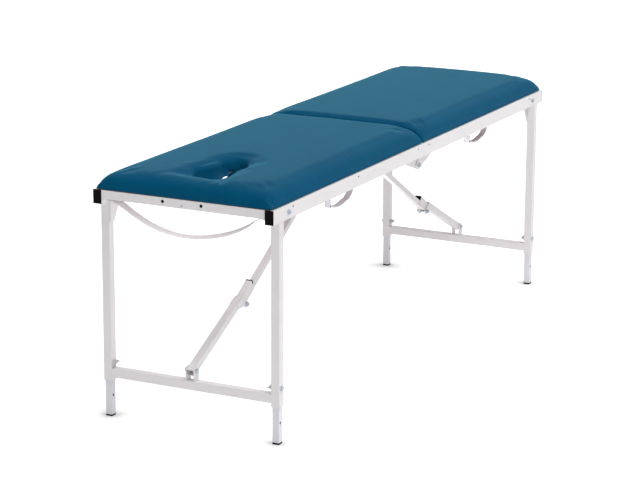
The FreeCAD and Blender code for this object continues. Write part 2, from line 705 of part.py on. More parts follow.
def make_wing_nut(half, side):
    inner = f"({leg_inner} - wing_hub_length)"
    x, length = across(side, inner, leg_inner)
    hub = rod("x", (x, leg_y, "bolt_height"), "wing_hub", length)
    wing_x, wing_width = across(side, f"({leg_inner} - wing_length)", f"({leg_inner} - wing_plate)")
    size = (wing_width, "2 * wing_reach", "wing_plate")
    wings = box((wing_x, f"{leg_y} - wing_reach", "bolt_height - wing_plate / 2"), size)
    bore_x, bore = across(side, f"({leg_inner} - wing_length - overrun)", f"({leg_inner} + overrun)")
    hole = rod("x", (bore_x, leg_y, "bolt_height"), "height_bolt / 2 + running_fit", bore)
    add_part(f"{half}_{side_name(half, side)}_wing_nut", cut(fuse([hub, wings]), [hole]), half)


def along(start, end):
    """Placement that lays a piece's own +Y along a line in the middle plane."""
    way = end - start
    turn = FreeCAD.Rotation(FreeCAD.Vector(1, 0, 0), math.degrees(math.atan2(way.y, way.x)))
    return FreeCAD.Placement(FreeCAD.Vector(0, start.x, start.y), turn)


def link_tube(start, end, side, first, last):
    """Square tube laid along a line of the middle plane, between two distances along it."""
    length = (end - start).Length
    outer = doc.addObject("Part::Box", "link")
    bore = doc.addObject("Part::Box", "link_bore")
    inside = f"({side} - 2 * brace_wall)"
    for obj, width, extra in ((outer, side, "0"), (bore, inside, "overrun")):
        obj.setExpression("Length", bind(width))
        obj.setExpression("Height", bind(width))
        obj.Width = length + number(first) + number(last) + 2 * number(extra)
        shift = FreeCAD.Vector(-number(width) / 2, -number(first) - number(extra), -number(width) / 2)
        obj.Placement = along(start, end).multiply(FreeCAD.Placement(shift, FreeCAD.Rotation()))
    return outer, bore


def pin_hole_at(point, radius):
    reach = "(lower_tube + overrun)"
    return rod("x", (f"-{reach}", str(point.x), str(point.y)), radius, f"2 * {reach}")


def in_frame(origin, along_way, up_way, shares):
    """Outline points given along and square to a link, with arcs kept as pairs."""
    def place(u, v):
        return origin + along_way * u + up_way * v
    return [tuple(place(*spot) for spot in item) if isinstance(item[0], tuple) else place(*item)
            for item in shares]


def make_brace(half):
    """Upper link with its locking saddle, lower link with its ears, and the elbow bolt."""
    up = (brace_top - elbow).normalize()
    square = flat(-up.y, up.x)
    upper_start = elbow + square * number("upper_tube_lift")
    outer, bore = link_tube(upper_start, brace_top, "upper_tube", "-upper_tube_start", "tube_end_top")
    upper = cut(outer, [bore, pin_hole_at(brace_top, "brace_pin / 2 + running_fit")])
    add_part(f"{half}_brace_upper_tube", upper, half)

    # saddle: a channel over the end of the upper tube, its slanting end running down to the elbow
    roof = number("upper_tube_lift + upper_tube / 2 + saddle_rise")
    under = number("upper_tube_lift - upper_tube / 2")
    length = number("saddle_length")
    eye = number("saddle_eye")
    outline = [(-number("saddle_behind"), roof), (length, roof), (length, under), (eye, 0),
               ((0, -eye), (-eye, 0))]
    block = plate(in_frame(elbow, up, square, outline), "upper_tube + 2 * saddle_wall", symmetric=True)
    ceiling = roof - number("saddle_wall")
    hollow_outline = [(-roof, ceiling), (length + roof, ceiling), (length + roof, -roof), (-roof, -roof)]
    hollow = plate(in_frame(elbow, up, square, hollow_outline), "upper_tube", symmetric=True)
    add_part(f"{half}_brace_saddle", cut(block, [hollow, pin_hole_at(elbow, "brace_pin / 2")]), half)

    plug_low = number("upper_tube_lift + upper_tube / 2")
    plug_start = length - number("plug_length")
    plug_outline = [(plug_start, plug_low), (length, plug_low), (length, ceiling), (plug_start, ceiling)]
    plug = plate(in_frame(elbow, up, square, plug_outline), "upper_tube", symmetric=True)
    add_part(f"{half}_brace_plug", group([plug]), half)

    # lower link: tube above the elbow with two ear plates down to the pivot
    ahead = (elbow - brace_foot).normalize()
    rise = flat(-ahead.y, ahead.x)
    lower_end = elbow + rise * number("lower_tube_lift")
    outer, bore = link_tube(brace_foot, lower_end, "lower_tube", "tube_end_low", "-lower_tube_stop")
    tube = cut(outer, [bore, pin_hole_at(brace_foot, "brace_pin / 2 + running_fit")])
    top = number("lower_tube_lift + lower_tube / 2 - ear_inset")
    low = number("lower_tube_lift - lower_tube / 2")
    reach = number("ear_length")
    eye = number("ear_eye")
    outline = [(-reach, low), (-reach, top), (-number("lower_tube_stop"), top), (eye, 0),
               ((0, -eye), (-eye, 0))]
    hole = (elbow.x, elbow.y, number("brace_pin / 2 + running_fit"))
    ears = []
    for side in (-1, 1):
        ear = plate(in_frame(elbow, ahead, rise, outline), "ear_plate", holes=[hole])
        x, _ = across(side, "(lower_tube / 2)", "(lower_tube / 2 + ear_plate)")
        ear.Placement.Base = vector(x, "0", "0")
        ears.append(ear)
    add_part(f"{half}_brace_lower_tube", fuse([tube] + ears), half)
    outside = "(lower_tube / 2 + ear_plate + plate_gap)"
    bolt = cross_bolt(1, str(elbow.x), str(elbow.y), f"-{outside}", outside, "brace_pin / 2")
    add_part(f"{half}_elbow_bolt", group([bolt]), half)


make_hinge_bolts()
make_strap()
for half in ("head", "foot"):
    make_rails(half)
    make_rail_caps(half)
    make_cross_tubes(half)
    make_brace_bracket(half)
    make_hinge_plates(half)
    make_pivot_bolts(half)
    make_board(half)
    make_cushion(half)
    make_handle(half)
    make_screws(half)
    make_leg_frame(half)
    make_brace(half)
    for side in (-1, 1):
        make_inner_leg(half, side)
        make_wing_nut(half, side)

doc.recompute()
failed = [item.Label for item in doc.Objects if "Invalid" in item.State or "Error" in item.State]
if failed:
    raise RuntimeError(f"features failed: {failed}")
for label, item in parts.items():
    if item.Shape.isNull() or not item.Shape.isValid() or not item.Shape.Solids:
        raise RuntimeError(f"bad shape: {label}")

os.makedirs("parts", exist_ok=True)
for label, item in parts.items():
    item.Shape.exportStep(f"parts/{label}.step")
print("parts", len(parts))
for name, point in (("top", brace_top), ("elbow", elbow), ("foot", brace_foot)):
    print(f"brace {name} pivot", round(point.x, 3), round(point.y, 3))
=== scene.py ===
import json
import math

import bmesh
import bpy
from mathutils import Matrix, Vector

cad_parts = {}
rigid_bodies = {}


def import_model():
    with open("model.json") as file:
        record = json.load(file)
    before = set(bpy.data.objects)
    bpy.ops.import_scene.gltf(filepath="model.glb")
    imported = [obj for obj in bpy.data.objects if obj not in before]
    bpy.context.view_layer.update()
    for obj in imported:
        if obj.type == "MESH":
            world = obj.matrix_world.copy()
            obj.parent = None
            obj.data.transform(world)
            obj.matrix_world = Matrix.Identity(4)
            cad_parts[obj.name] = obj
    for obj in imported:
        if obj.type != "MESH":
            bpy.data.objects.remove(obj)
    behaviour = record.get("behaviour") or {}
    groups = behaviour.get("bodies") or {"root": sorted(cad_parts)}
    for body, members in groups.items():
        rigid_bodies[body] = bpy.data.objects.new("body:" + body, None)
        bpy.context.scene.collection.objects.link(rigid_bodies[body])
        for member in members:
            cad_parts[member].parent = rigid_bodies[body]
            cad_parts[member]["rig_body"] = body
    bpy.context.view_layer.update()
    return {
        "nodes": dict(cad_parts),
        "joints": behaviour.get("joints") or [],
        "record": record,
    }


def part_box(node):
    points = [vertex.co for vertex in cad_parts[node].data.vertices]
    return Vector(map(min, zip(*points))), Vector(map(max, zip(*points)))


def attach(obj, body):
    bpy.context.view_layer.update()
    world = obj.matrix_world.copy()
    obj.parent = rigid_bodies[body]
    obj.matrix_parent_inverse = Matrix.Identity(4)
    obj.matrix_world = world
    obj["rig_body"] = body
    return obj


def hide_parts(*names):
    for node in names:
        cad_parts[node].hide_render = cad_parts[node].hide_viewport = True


# Looks of a folding treatment table: padded vinyl top, painted steel frame, webbing strap, small hardware.
# Metres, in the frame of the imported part: X across, Y from head end to foot end, Z up from the floor.

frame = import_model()
NODES = frame["nodes"]
HALVES = ("head", "foot")
SIDES = ("left", "right")
OUTWARDS = {"left": (-1, 0, 0), "right": (1, 0, 0)}
MM = 0.001
# Vertices nearer than this are one
WELD = 0.05 * MM
# Edges bent more than this stay sharp
SHARP_ANGLE = math.radians(40)

# The photograph's view: metres, radians and millimetres of lens
CAMERA_PLACE = Vector((3.042, -6.248, 2.118))
CAMERA_YAW = 0.4619
CAMERA_PITCH = 0.2514
CAMERA_ROLL = 0.0055
CAMERA_LENS = 129.94
SENSOR_WIDTH = 36.0
VIEW_REACH = 100.0


def link(obj):
    """Put an object in the scene."""
    bpy.context.scene.collection.objects.link(obj)
    return obj


def applied_mesh(obj):
    """The object's mesh with its modifiers applied."""
    bpy.context.view_layer.update()
    graph = bpy.context.evaluated_depsgraph_get()
    return bpy.data.meshes.new_from_object(obj.evaluated_get(graph), depsgraph=graph)


def apply_modifiers(obj):
    """Turn the object's modifiers into its own mesh."""
    mesh = applied_mesh(obj)
    obj.modifiers.clear()
    obj.data = mesh


def smooth(mesh, angle=SHARP_ANGLE):
    """Shade a mesh smoothly, but for its sharp edges."""
    mesh.polygons.foreach_set("use_smooth", [True] * len(mesh.polygons))
    mesh.set_sharp_from_angle(angle=angle)


def ease(value, start, end):
    """Smooth step from nought at the start to one at the end."""
    share = min(max((value - start) / (end - start), 0.0), 1.0)
    return share * share * (3 - 2 * share)


# Materials

VINYL_BLUE = (0.0004, 0.075, 0.16)
SHEEN_TINT = (0.12, 0.75, 1.0, 1.0)
PLATED_BLUE = (0.5, 0.56, 0.66)
FIBRE_DARK = (0.11, 0.04, 0.035)
FIBRE_LIGHT = (0.22, 0.1, 0.075)
YARN_SHADED = (0.9, 0.88, 0.93)
YARN_RAISED = (0.98, 0.96, 1.0)
FRAME_WHITE = (0.84, 0.815, 0.83)
INNER_LEG_WHITE = (0.8, 0.78, 0.84)
HANDLE_WHITE = (0.8, 0.78, 0.85)
ZINC_GREY = (0.72, 0.69, 0.68)
BLACK = (0.004, 0.004, 0.0036)
BEVEL_SAMPLES = 4


class Shader:
    """A material's node tree, with short calls to add and join nodes."""

    def __init__(self, name, roughness=0.5, metallic=0.0):
        self.material = bpy.data.materials.new(name)
        self.material.use_nodes = True
        self.tree = self.material.node_tree
        self.surface = self.tree.nodes["Principled BSDF"]
        self.fix("Roughness", roughness)
        self.fix("Metallic", metallic)
        self.place = self.add("ShaderNodeTexCoord").outputs["Object"]

    def add(self, kind, inputs=None, **settings):
        """New node, with its inputs joined to sockets or set to plain values."""
        node = self.tree.nodes.new(kind)
        for key, value in settings.items():
            setattr(node, key, value)
        for key, value in (inputs or {}).items():
            if isinstance(value, bpy.types.NodeSocket):
                self.tree.links.new(value, node.inputs[key])
            else:
                node.inputs[key].default_value = value
        return node

    def set(self, key, socket):
        """Join a socket to one of the surface's inputs."""
        self.tree.links.new(socket, self.surface.inputs[key])

    def noise(self, scale, detail=4.0, rough=0.55, stretch=None):
        """Noise fixed to the piece, from nought to one."""
        vector = self.place
        if stretch:
            vector = self.add("ShaderNodeMapping", {"Vector": vector, "Scale": stretch}).outputs["Vector"]
        inputs = {"Vector": vector, "Scale": scale, "Detail": detail, "Roughness": rough}
        return self.add("ShaderNodeTexNoise", inputs).outputs["Fac"]

    def ramp(self, fac, stops):
        """Colour blended between two (share, colour) stops."""
        node = self.add("ShaderNodeValToRGB", {"Fac": fac})
        for element, (spot, colour) in zip(node.color_ramp.elements, stops):
            element.position = spot
            element.color = (*colour, 1.0)
        return node.outputs["Color"]

    def spread(self, fac, low, high):
        """Share from nought to one, spread between two values."""
        inputs = {"Value": fac, "To Min": low, "To Max": high}
        return self.add("ShaderNodeMapRange", inputs).outputs["Result"]

    def bump(self, height, strength, distance, under=None):
        """Normal of a fine relief, on top of another normal if there is one."""
        inputs = {"Height": height, "Strength": strength, "Distance": distance}
        if under:
            inputs["Normal"] = under
        return self.add("ShaderNodeBump", inputs).outputs["Normal"]

    def rounded(self, radius):
        """Normal that softens sharp edges as if they had this radius."""
        return self.add("ShaderNodeBevel", {"Radius": radius}, samples=BEVEL_SAMPLES).outputs["Normal"]

    def fix(self, key, value):
        """One value of the surface that is the same all over."""
        self.surface.inputs[key].default_value = value


def shade(colour, share):
    """Lighter or darker tone of a colour."""
    return tuple(part * share for part in colour)


def vinyl_material(name, sheen):
    """Soft blue upholstery vinyl: fine pressed grain, faint mottling, satin gloss."""
    shader = Shader(name)
    mottle = shader.noise(scale=9.0, detail=5.0)
    tones = [(0.3, shade(VINYL_BLUE, 0.93)), (0.7, shade(VINYL_BLUE, 1.07))]
    shader.set("Base Color", shader.ramp(mottle, tones))
    shader.set("Roughness", shader.spread(shader.noise(scale=55.0), low=0.46, high=0.56))
    cells = {"Vector": shader.place, "Scale": 620.0}
    grain = shader.add("ShaderNodeTexVoronoi", cells, feature="DISTANCE_TO_EDGE")
    creases = shader.bump(grain.outputs["Distance"], strength=0.25, distance=0.3 * MM)
    ripple = shader.noise(scale=160.0, detail=3.0)
    shader.set("Normal", shader.bump(ripple, strength=0.12, distance=0.6 * MM, under=creases))
    shader.fix("Specular IOR Level", 0.035)
    shader.fix("Sheen Weight", sheen)
    shader.fix("Sheen Roughness", 0.27)
    shader.fix("Sheen Tint", SHEEN_TINT)
    return shader.material


def paint_material(name, colour, roughness=0.34):
    """Powder coat: faint orange peel, slight change of tone, duller patches."""
    shader = Shader(name)
    tone = shader.noise(scale=14.0, detail=3.0)
    shader.set("Base Color", shader.ramp(tone, [(0.25, shade(colour, 0.97)), (0.75, colour)]))
    patches = shader.noise(scale=40.0)
    shader.set("Roughness", shader.spread(patches, low=roughness - 0.05, high=roughness + 0.09))
    peel = shader.noise(scale=480.0, detail=2.0)
    edges = shader.rounded(1.5 * MM)
    shader.set("Normal", shader.bump(peel, strength=0.1, distance=0.25 * MM, under=edges))
    shader.fix("Specular IOR Level", 0.3)
    return shader.material


def moulding_material(name, colour, roughness, shine=0.3):
    """Moulded plastic with a fine spark-eroded surface."""
    shader = Shader(name)
    tone = shader.noise(scale=30.0)
    shader.set("Base Color", shader.ramp(tone, [(0.3, shade(colour, 0.9)), (0.7, shade(colour, 1.06))]))
    patches = shader.noise(scale=90.0)
    shader.set("Roughness", shader.spread(patches, low=roughness - 0.07, high=roughness + 0.08))
    pits = shader.noise(scale=1400.0, detail=2.0)
    edges = shader.rounded(1.5 * MM)
    shader.set("Normal", shader.bump(pits, strength=0.25, distance=0.12 * MM, under=edges))
    shader.fix("Specular IOR Level", shine)
    return shader.material


def steel_material():
    """Zinc-plated steel: bluish, with turned streaks and dull spots."""
    shader = Shader("plated_steel", metallic=0.4)
    streaks = shader.noise(scale=160.0, stretch=(8.0, 1.0, 1.0))
    shader.set("Base Color", shader.ramp(streaks, [(0.3, shade(PLATED_BLUE, 0.75)), (0.7, PLATED_BLUE)]))
    shader.set("Roughness", shader.spread(streaks, low=0.26, high=0.44))
    edges = shader.rounded(0.8 * MM)
    shader.set("Normal", shader.bump(streaks, strength=0.12, distance=0.15 * MM, under=edges))
    return shader.material


def board_material():
    """Brown hardboard with fine pressed fibres."""
    shader = Shader("hardboard", roughness=0.75)
    fibres = shader.noise(scale=260.0, detail=6.0, rough=0.7, stretch=(1.0, 0.35, 2.5))
    shader.set("Base Color", shader.ramp(fibres, [(0.3, FIBRE_DARK), (0.7, FIBRE_LIGHT)]))
    shader.set("Normal", shader.bump(fibres, strength=0.3, distance=0.3 * MM))
    return shader.material


def webbing_material():
    """Woven webbing: diagonal twill ribs along the strap, read from its own lengthwise map."""
    shader = Shader("webbing", roughness=0.8)
    lengthwise = shader.add("ShaderNodeTexCoord").outputs["UV"]
    twill = {"Vector": lengthwise, "Scale": 190.0, "Distortion": 0.4}
    ribs = shader.add("ShaderNodeTexWave", twill, bands_direction="DIAGONAL").outputs["Fac"]
    yarns = {"Vector": lengthwise, "Scale": 420.0}
    warp = shader.add("ShaderNodeTexWave", yarns, bands_direction="Y").outputs["Fac"]
    weave = shader.add("ShaderNodeMath", {0: ribs, 1: warp}, operation="MULTIPLY").outputs["Value"]
    shader.set("Base Color", shader.ramp(weave, [(0.0, YARN_SHADED), (1.0, YARN_RAISED)]))
    shader.set("Normal", shader.bump(weave, strength=0.5, distance=0.3 * MM))
    shader.fix("Sheen Weight", 0.2)
    shader.fix("Subsurface Weight", 0.7)
    shader.fix("Subsurface Radius", (1.0, 1.0, 1.0))
    shader.fix("Subsurface Scale", 4 * MM)
    return shader.material


MATERIALS = {
    "vinyl": vinyl_material("vinyl", sheen=0.9),
    "board": board_material(),
    "frame_paint": paint_material("frame_paint", FRAME_WHITE),
    "inner_leg_paint": paint_material("inner_leg_paint", INNER_LEG_WHITE, roughness=0.3),
    "black_plastic": moulding_material("black_plastic", BLACK, roughness=0.55, shine=0.04),
    "bolts": steel_material(),
    "handle_plastic": moulding_material("handle_plastic", HANDLE_WHITE, roughness=0.4),
    "webbing": webbing_material(),
}
# Wing nuts and the lining of the face hole differ a little from the rest of their slots
PALE_ZINC = moulding_material("pale_zinc", ZINC_GREY, roughness=0.45)
PLAIN_VINYL = vinyl_material("plain_vinyl", sheen=0.0)


def dress(piece, slot):
    """Give a piece the material of one of the record's slots."""
    piece.data.materials.clear()
    piece.data.materials.append(MATERIALS[slot])


# Cushions

VOXEL = 6 * MM
START_SHRINK = 2 * MM
# The pad's foot, which is fixed to the board, reaches this far up
PINNED_HEIGHT = 6 * MM
PRESSURE = 4.0
SWELL_FRAMES = 20
SWELL_QUALITY = 2
SWELL_CAP = 5 * MM
SOFTEN_ROUNDS_FIRST = 6
SOFTEN_ROUNDS_LAST = 5
PAD_SHARP_ANGLE = math.radians(60)


def normals_of(piece):
    """Copies of the piece's vertex normals, which stay as they are while the vertices move."""
    return [normal.vector.copy() for normal in piece.data.vertex_normals]


def shrink_from_cad(piece, base):
    """Start a little inside the drawn form, because the pad swells."""
    for vertex, normal in zip(piece.data.vertices, normals_of(piece)):
        if vertex.co.z > base + PINNED_HEIGHT:
            vertex.co -= normal * START_SHRINK


def swell(piece, base):
    """Blow the pad up as cloth held along its foot, and keep each point near where it started."""
    vertices = piece.data.vertices
    start = [vertex.co.copy() for vertex in vertices]
    held = piece.vertex_groups.new(name="held")
    held.add([vertex.index for vertex in vertices if vertex.co.z < base + PINNED_HEIGHT], 1.0, "REPLACE")
    cloth = piece.modifiers.new("swell", "CLOTH")
    cloth.settings.quality = SWELL_QUALITY
    cloth.settings.use_pressure = True
    cloth.settings.uniform_pressure_force = PRESSURE
    cloth.settings.vertex_group_mass = "held"
    cloth.settings.effector_weights.gravity = 0.0
    cloth.point_cache.frame_start = 1
    cloth.point_cache.frame_end = SWELL_FRAMES
    for number in range(1, SWELL_FRAMES + 1):
        bpy.context.scene.frame_set(number)
    mesh = applied_mesh(piece)
    piece.modifiers.clear()
    piece.vertex_groups.clear()
    for vertex, before in zip(mesh.vertices, start):
        move = vertex.co - before
        if move.length > SWELL_CAP:
            vertex.co = before + move.normalized() * SWELL_CAP
    piece.data = mesh
    bpy.context.scene.frame_set(1)


TUCK_DEPTH = 1.7 * MM
TUCK_WIDTH = 4.5 * MM
TUCK_REACH = 34 * MM
# Only this much of the pad's skin is tucked, measured in from its sides
TUCK_SKIN = 16 * MM
TUCK_SLOPES = (0.5, 1.15)


def tuck_corners(piece, node):
    """Small pleats that fan out from the foot of the two outer corners, where the vinyl is folded under."""
    low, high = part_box(node)
    end = low.y if abs(low.y) > abs(high.y) else high.y
    for vertex, normal in zip(piece.data.vertices, normals_of(piece)):
        from_end = abs(vertex.co.y - end)
        from_side = high.x - abs(vertex.co.x)
        if min(from_end, from_side) > TUCK_SKIN:
            continue
        away = max(from_end, from_side)
        rise = vertex.co.z - low.z
        folds = sum(math.exp(-((rise - slope * away) / TUCK_WIDTH) ** 2) for slope in TUCK_SLOPES)
        vertex.co -= normal * (TUCK_DEPTH * folds * math.exp(-away / TUCK_REACH))


SEAM_DROOP = 8 * MM
SEAM_REACH = 28 * MM
SIDE_REACH = 50 * MM


def droop_seam_corners(piece, node):
    """Let the two corners at the centre seam sag, where the foam is rounded off."""
    low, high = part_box(node)
    seam = low.y if abs(low.y) < abs(high.y) else high.y
    for vertex in piece.data.vertices:
        from_seam = abs(vertex.co.y - seam) / SEAM_REACH
        from_side = max(high.x - abs(vertex.co.x), 0.0) / SIDE_REACH
        share = (vertex.co.z - low.z) / (high.z - low.z)
        vertex.co.z -= SEAM_DROOP * share * math.exp(-from_seam ** 2 - from_side ** 2)


# Face hole in plan: two round ends, each with its place along Y and its radius, and a waist of two arcs
HOLE_WIDE = (-812 * MM, 45 * MM)
HOLE_NARROW = (-679.8 * MM, 32 * MM)
# Stretch along Y in which the waist is the nearest edge
WAIST_SPAN = (-790 * MM, -690 * MM)
WAIST_CENTRE = Vector((151 * MM, -729.6 * MM))
WAIST_RADIUS = 127 * MM
# Lip profiles in millimetres: distance from the hole, depth below the top
DRAWN_LIP = [(0, 42), (4, 25), (13, 14.7), (26, 7.6), (41, 2.9), (58, 0)]
TIGHT_LIP = [(0, 42), (3, 22), (6, 12), (10, 6), (15, 2), (20, 0)]
SUNK_LIP = [(0, 42), (3, 26), (6, 18), (9, 14.5), (12, 13.3), (30, 9.2), (50, 4.6), (70, 0)]
# Direction in which the lip is sunk, and how far a point has to lie that way: not at all yet, and fully
LIP_SINKS_TOWARDS = Vector((0.45, -0.9))
LIP_SINK_RANGE = (-0.2, 0.6)
LIP_HALF_WIDTH = 110 * MM


def hole_offset(place):
    """Distance in plan from the edge of the face hole, and the direction away from it."""
    if WAIST_SPAN[0] < place.y < WAIST_SPAN[1]:
        side = math.copysign(1.0, place.x)
        centre = Vector((side * WAIST_CENTRE.x, WAIST_CENTRE.y))
        return WAIST_RADIUS - (place - centre).length, Vector((side, 0.0))
    ends = []
    for middle, radius in (HOLE_WIDE, HOLE_NARROW):
        away = place - Vector((0.0, middle))
        ends.append((away.length - radius, away.normalized()))
    return min(ends, key=lambda end: end[0])


def lip_depth(profile, distance):
    """Depth of a lip profile at a distance from the hole, between its points by straight lines."""
    for (start, high), (end, low) in zip(profile, profile[1:]):
        if distance < end * MM:
            share = max(distance / MM - start, 0.0) / (end - start)
            return (high + (low - high) * share) * MM
    return 0.0


def shape_lip(piece, node):
    """Tighten the rolled lip of the face hole, but leave it sunk towards the head end."""
    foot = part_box(node)[1].z - DRAWN_LIP[0][1] * MM
    reach = SUNK_LIP[-1][0] * MM
    for vertex in piece.data.vertices:
        if vertex.co.z < foot or abs(vertex.co.x) > LIP_HALF_WIDTH:
            continue
        distance, away = hole_offset(vertex.co.xy)
        if not 0.0 < distance < reach:
            continue
        sunk = ease(away.dot(LIP_SINKS_TOWARDS), *LIP_SINK_RANGE)
        wanted = sunk * lip_depth(SUNK_LIP, distance) + (1 - sunk) * lip_depth(TIGHT_LIP, distance)
        vertex.co.z += lip_depth(DRAWN_LIP, distance) - wanted


def soften(piece, base, rounds):
    """Smooth the pad above its foot."""
    vertices = piece.data.vertices
    free = piece.vertex_groups.new(name="free")
    free.add([vertex.index for vertex in vertices if vertex.co.z > base + PINNED_HEIGHT], 1.0, "REPLACE")
    modifier = piece.modifiers.new("soften", "SMOOTH")
    modifier.iterations = rounds
    modifier.vertex_group = "free"
    apply_modifiers(piece)
    piece.vertex_groups.clear()


def make_cushion(half):
    """Vinyl pad of one half, swollen from the drawn form."""
    node = f"{half}_cushion"
    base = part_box(node)[0].z
    piece = link(bpy.data.objects.new(f"{half}_pad", NODES[node].data.copy()))
    remesh = piece.modifiers.new("even", "REMESH")
    remesh.mode = "VOXEL"
    remesh.voxel_size = VOXEL
    apply_modifiers(piece)
    if half == "head":
        shape_lip(piece, node)
    droop_seam_corners(piece, node)
    soften(piece, base, SOFTEN_ROUNDS_FIRST)
    shrink_from_cad(piece, base)
    swell(piece, base)
    soften(piece, base, SOFTEN_ROUNDS_LAST)
    finer = piece.modifiers.new("finer", "SUBSURF")
    finer.levels = 1
    finer.render_levels = 1
    apply_modifiers(piece)
    tuck_corners(piece, node)
    smooth(piece.data, PAD_SHARP_ANGLE)
    dress(piece, "vinyl")
    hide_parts(node)
    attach(piece, f"{half}_section")


LINING_TOP = 700 * MM
LINING_FOOT = 668.4 * MM
# Inner and outer skin of the lining, inside the edge of the hole
LINING_INSETS = (0.7 * MM, 0.2 * MM)
LINING_STEPS = 24
# Turns about the narrow end between which the lining leaves a gap
LINING_STARTS = math.radians(150)
LINING_STOPS = math.radians(85)


def hole_arc(centre, radius, start, end):
    """Points along part of a circle in plan."""
    angles = [start + (end - start) * step / LINING_STEPS for step in range(LINING_STEPS + 1)]
    return [centre + Vector((math.cos(angle), math.sin(angle))) * radius for angle in angles]


def lining_line(inset):
    """Line inside the face hole in plan, from the narrow end round the wide end and back."""
    wide = Vector((0.0, HOLE_WIDE[0]))
    narrow = Vector((0.0, HOLE_NARROW[0]))
    left = Vector((-WAIST_CENTRE.x, WAIST_CENTRE.y))
    wide_turn = math.atan2(WAIST_CENTRE.y - wide.y, WAIST_CENTRE.x)
    narrow_turn = math.atan2(narrow.y - WAIST_CENTRE.y, WAIST_CENTRE.x)
    wide_radius = HOLE_WIDE[1] - inset
    narrow_radius = HOLE_NARROW[1] - inset
    bend = WAIST_RADIUS + inset
    line = hole_arc(narrow, narrow_radius, LINING_STARTS, math.pi + narrow_turn)
    line += hole_arc(left, bend, narrow_turn, -wide_turn)
    line += hole_arc(wide, wide_radius, math.pi - wide_turn, 2 * math.pi + wide_turn)
    line += hole_arc(WAIST_CENTRE, bend, math.pi + wide_turn, math.pi - narrow_turn)
    return line + hole_arc(narrow, narrow_radius, -narrow_turn, LINING_STOPS)


def make_lining():
    """Vinyl over the board's edge inside the face hole; the edge shows in a gap at the narrow end."""
    shape = bmesh.new()
    rings = []
    inner_line, outer_line = (lining_line(inset) for inset in LINING_INSETS)
    for inner, outer in zip(inner_line, outer_line):
        corners = [(inner, LINING_FOOT), (inner, LINING_TOP), (outer, LINING_TOP), (outer, LINING_FOOT)]
        rings.append([shape.verts.new((*spot, height)) for spot, height in corners])
    for ring, following in zip(rings, rings[1:]):
        for spot, start in enumerate(ring):
            after = (spot + 1) % len(ring)
            shape.faces.new((start, ring[after], following[after], following[spot]))
    shape.faces.new(rings[0])
    shape.faces.new(rings[-1])
    bmesh.ops.remove_doubles(shape, verts=shape.verts, dist=WELD)
    piece = new_piece("hole_lining", shape, "vinyl", "head_section")
    piece.data.materials[0] = PLAIN_VINYL


# Webbing strap

# Route in X and Z, in millimetres
STRAP_ROUTE = [(-246, 642.2), (-226, 642.15), (-196, 627), (-160, 605), (-118, 584.5),
               (-70, 569), (-20, 561.5), (30, 562), (80, 569.5), (126, 582),
               (164, 597), (195, 614), (217, 629.5), (234, 642.1), (252, 642.2)]
STRAP_ORDER = 3
STRAP_RESOLUTION = 12
STRAP_THICKNESS = 1.6 * MM
STRAP_TILT = math.radians(14)
# Stretches along X, in metres, in which the tilt sets in and goes again
TILT_GROWS = (-0.04, 0.16)
TILT_EASES = (0.2, 0.236)
# Section of the strap: shares of its half width, and of its thickness there
EDGE_SHARES = (-1.0, -0.94, -0.5, 0.0, 0.5, 0.94, 1.0)
THICK_SHARES = (0.0, 0.85, 1.0, 1.0, 1.0, 0.85, 0.0)


def route_points(y):
    """Points along the strap's smooth line."""
    curve = bpy.data.curves.new("strap_line", "CURVE")
    curve.dimensions = "3D"
    spline = curve.splines.new("NURBS")
    spline.points.add(len(STRAP_ROUTE) - 1)
    for point, (x, z) in zip(spline.points, STRAP_ROUTE):
        point.co = (x * MM, y, z * MM, 1.0)
    spline.order_u = STRAP_ORDER
    spline.use_endpoint_u = True
    spline.resolution_u = STRAP_RESOLUTION
    holder = link(bpy.data.objects.new("strap_line", curve))
    mesh = applied_mesh(holder)
    points = [vertex.co.copy() for vertex in mesh.vertices]
    bpy.data.objects.remove(holder)
    return points


def strap_tilt(x):
    """Turn of the strap about its own length: none at its ends, back edge lower right of the middle."""
    return STRAP_TILT * (ease(x, *TILT_GROWS) - ease(x, *TILT_EASES))


def strap_ring(shape, point, way, width):
    """Vertices round the strap's section at a point of its route."""
    across = Matrix.Rotation(strap_tilt(point.x), 3, way) @ Vector((0.0, 1.0, 0.0))
    up = way.cross(across)
    top = []
    under = []
    for edge, thick in zip(EDGE_SHARES, THICK_SHARES):
        side = point + across * (edge * width / 2)
        lift = up * (thick * STRAP_THICKNESS / 2)
        top.append(shape.verts.new(side + lift))
        if thick:
            under.append(shape.verts.new(side - lift))
    return top + under[::-1]


def make_strap():
    """Flat woven strap that hangs under the head end crossbar."""
    low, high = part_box("head_webbing_strap")
    width = high.y - low.y
    points = route_points((low.y + high.y) / 2)
    shape = bmesh.new()
    maps = shape.loops.layers.uv.new("lengthwise")
    rings = []
    travel = 0.0
    for index, point in enumerate(points):
        before = points[max(index - 1, 0)]
        after = points[min(index + 1, len(points) - 1)]
        travel += (point - before).length
        rings.append((strap_ring(shape, point, (after - before).normalized(), width), travel))
    count = len(rings[0][0])
    for (ring, start), (following, end) in zip(rings, rings[1:]):
        for spot in range(count):
            after = (spot + 1) % count
            face = shape.faces.new((ring[spot], ring[after], following[after], following[spot]))
            for loop, along in zip(face.loops, (start, start, end, end)):
                loop[maps].uv = (along, loop.vert.co.y)
    shape.faces.new(rings[0][0][::-1])
    shape.faces.new(rings[-1][0])
    bmesh.ops.recalc_face_normals(shape, faces=shape.faces)
    mesh = bpy.data.meshes.new("strap")
    shape.to_mesh(mesh)
    shape.free()
    smooth(mesh)
    piece = link(bpy.data.objects.new("strap", mesh))
    dress(piece, "webbing")
    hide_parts("head_webbing_strap")
    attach(piece, "head_section")


# Frame nodes and small hardware

